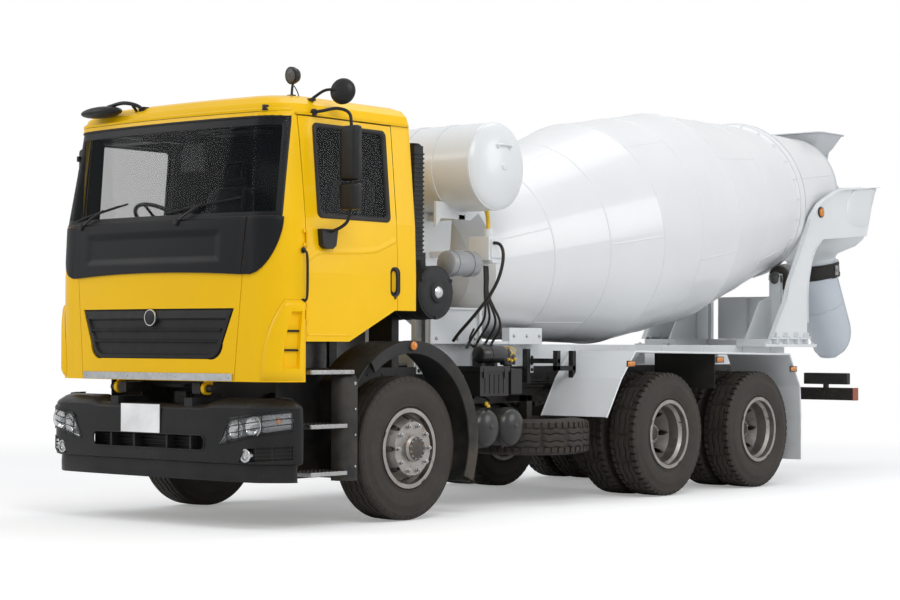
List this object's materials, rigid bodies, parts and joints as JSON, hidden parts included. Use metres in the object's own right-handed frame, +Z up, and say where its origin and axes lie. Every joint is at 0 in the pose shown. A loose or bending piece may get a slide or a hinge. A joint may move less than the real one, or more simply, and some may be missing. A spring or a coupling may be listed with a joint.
{
  "type": "concrete mixer truck",
  "caption": "Cab-over concrete mixer truck with a tilting cab, opening doors, steered front axle, twin rear axles, turning drum, hopper and swinging discharge chute.",
  "frame": {"origin": "on the ground under the middle of the whole truck's box", "axes": "+Z up, the cab faces -Y, +X is the truck's left side"},
  "size_m": [2.92, 9.7497, 3.4793],
  "materials": {
    "cab_yellow": "gloss yellow enamel",
    "panel_black": "satin black panel",
    "grille_black": "textured black",
    "bumper_black": "grained black",
    "black_plastic": "grained black",
    "window_glass": "tinted clear",
    "lamp_glass": "clear",
    "mirror_black": "black housing, silvered glass",
    "trim_dark": "dark grey interior trim",
    "chassis_black": "semi-gloss chassis black",
    "tank_black": "black enamel",
    "cast_engine": "painted casting",
    "cast_steel": "as cast",
    "spring_steel": "black",
    "wheel_steel": "dusty grey paint",
    "tyre_rubber": "dusty rubber",
    "body_white": "gloss white enamel",
    "drum_white": "gloss white enamel",
    "drive_grey": "grey enamel",
    "hopper_grey": "light grey enamel",
    "chute_grey": "pale grey enamel",
    "bare_steel": "turned"
  },
  "bodies": {
    "chassis": {"chassis_frame": "chassis_black", "subframe": "body_white", "engine_block": "cast_engine", "drive_line": "chassis_black", "front_axle": "chassis_black", "rear_axles": "chassis_black", "leaf_springs": "spring_steel", "front_bumper": "bumper_black", "headlights": "lamp_glass", "front_mudguards": "black_plastic", "air_intake": "black_plastic", "air_tanks": "chassis_black", "fuel_tank": "tank_black", "spare_wheel": "tyre_rubber", "rear_mudguards": "body_white", "underrun_bar": "chassis_black", "water_tank": "body_white", "front_pedestal": "body_white", "drum_drive": "drive_grey", "rear_pedestal": "body_white", "hopper": "hopper_grey", "collector": "body_white"},
    "cab": {"cab_shell": "cab_yellow", "cab_front_panel": "cab_yellow", "grille": "grille_black", "windscreen": "window_glass", "cab_interior": "trim_dark"},
    "left_door": {"door_left": "cab_yellow", "door_glass_left": "window_glass", "mirror_left": "mirror_black"},
    "right_door": {"door_right": "cab_yellow", "door_glass_right": "window_glass", "mirror_right": "mirror_black"},
    "left_knuckle": {"knuckle_left": "cast_steel"},
    "right_knuckle": {"knuckle_right": "cast_steel"},
    "front_left_wheel": {"front_rim_left": "wheel_steel", "front_tyre_left": "tyre_rubber"},
    "front_right_wheel": {"front_rim_right": "wheel_steel", "front_tyre_right": "tyre_rubber"},
    "mid_left_wheels": {"mid_rims_left": "wheel_steel", "mid_tyres_left": "tyre_rubber"},
    "mid_right_wheels": {"mid_rims_right": "wheel_steel", "mid_tyres_right": "tyre_rubber"},
    "rear_left_wheels": {"rear_rims_left": "wheel_steel", "rear_tyres_left": "tyre_rubber"},
    "rear_right_wheels": {"rear_rims_right": "wheel_steel", "rear_tyres_right": "tyre_rubber"},
    "drum": {"drum_shell": "drum_white"},
    "left_roller": {"roller_left": "bare_steel"},
    "right_roller": {"roller_right": "bare_steel"},
    "swing_chute": {"chute": "chute_grey"}
  },
  "joints": [
    {"name": "cab_tilt", "type": "hinge", "parent": "chassis", "child": "cab", "pos_m": [0, -4.725, 0.96], "axis": [1, 0, 0], "range_deg": [0, 45]},
    {"name": "left_door_swing", "type": "hinge", "parent": "cab", "child": "left_door", "pos_m": [1.196, -4.5, 1.7], "axis": [0, 0, -1], "range_deg": [0, 70]},
    {"name": "right_door_swing", "type": "hinge", "parent": "cab", "child": "right_door", "pos_m": [-1.196, -4.5, 1.7], "axis": [0, 0, 1], "range_deg": [0, 70]},
    {"name": "left_steer", "type": "hinge", "parent": "chassis", "child": "left_knuckle", "pos_m": [0.9, -3.395, 0.522], "axis": [0, 0, 1], "range_deg": [-35, 35]},
    {"name": "right_steer", "type": "hinge", "parent": "chassis", "child": "right_knuckle", "pos_m": [-0.9, -3.395, 0.522], "axis": [0, 0, 1], "range_deg": [-35, 35]},
    {"name": "front_left_spin", "type": "hinge", "parent": "left_knuckle", "child": "front_left_wheel", "pos_m": [1.03, -3.395, 0.522], "axis": [1, 0, 0], "continuous": true},
    {"name": "front_right_spin", "type": "hinge", "parent": "right_knuckle", "child": "front_right_wheel", "pos_m": [-1.03, -3.395, 0.522], "axis": [1, 0, 0], "continuous": true},
    {"name": "mid_left_spin", "type": "hinge", "parent": "chassis", "child": "mid_left_wheels", "pos_m": [0.89, -0.075, 0.522], "axis": [1, 0, 0], "continuous": true},
    {"name": "mid_right_spin", "type": "hinge", "parent": "chassis", "child": "mid_right_wheels", "pos_m": [-0.89, -0.075, 0.522], "axis": [1, 0, 0], "continuous": true},
    {"name": "rear_left_spin", "type": "hinge", "parent": "chassis", "child": "rear_left_wheels", "pos_m": [0.89, 1.365, 0.522], "axis": [1, 0, 0], "continuous": true},
    {"name": "rear_right_spin", "type": "hinge", "parent": "chassis", "child": "rear_right_wheels", "pos_m": [-0.89, 1.365, 0.522], "axis": [1, 0, 0], "continuous": true},
    {"name": "drum_spin", "type": "hinge", "parent": "chassis", "child": "drum", "pos_m": [0, -1.731, 1.951], "axis": [0, 0.9869, 0.1616], "continuous": true},
    {"name": "left_roller_spin", "type": "hinge", "parent": "chassis", "child": "left_roller", "pos_m": [0.47719, 2.97636, 1.94802], "axis": [0, 0.9869, 0.1616], "continuous": true},
    {"name": "right_roller_spin", "type": "hinge", "parent": "chassis", "child": "right_roller", "pos_m": [-0.47719, 2.97636, 1.94802], "axis": [0, 0.9869, 0.1616], "continuous": true},
    {"name": "chute_swing", "type": "hinge", "parent": "chassis", "child": "swing_chute", "pos_m": [0, 4.36516, 2.13045], "axis": [0, -0.1908, 0.9816], "range_deg": [-90, 90]}
  ],
  "couplings": [
    {"joint": "right_steer", "follows": "left_steer", "ratio": 1},
    {"joint": "left_roller_spin", "follows": "drum_spin", "ratio": -6.2},
    {"joint": "right_roller_spin", "follows": "drum_spin", "ratio": -6.2}
  ]
}
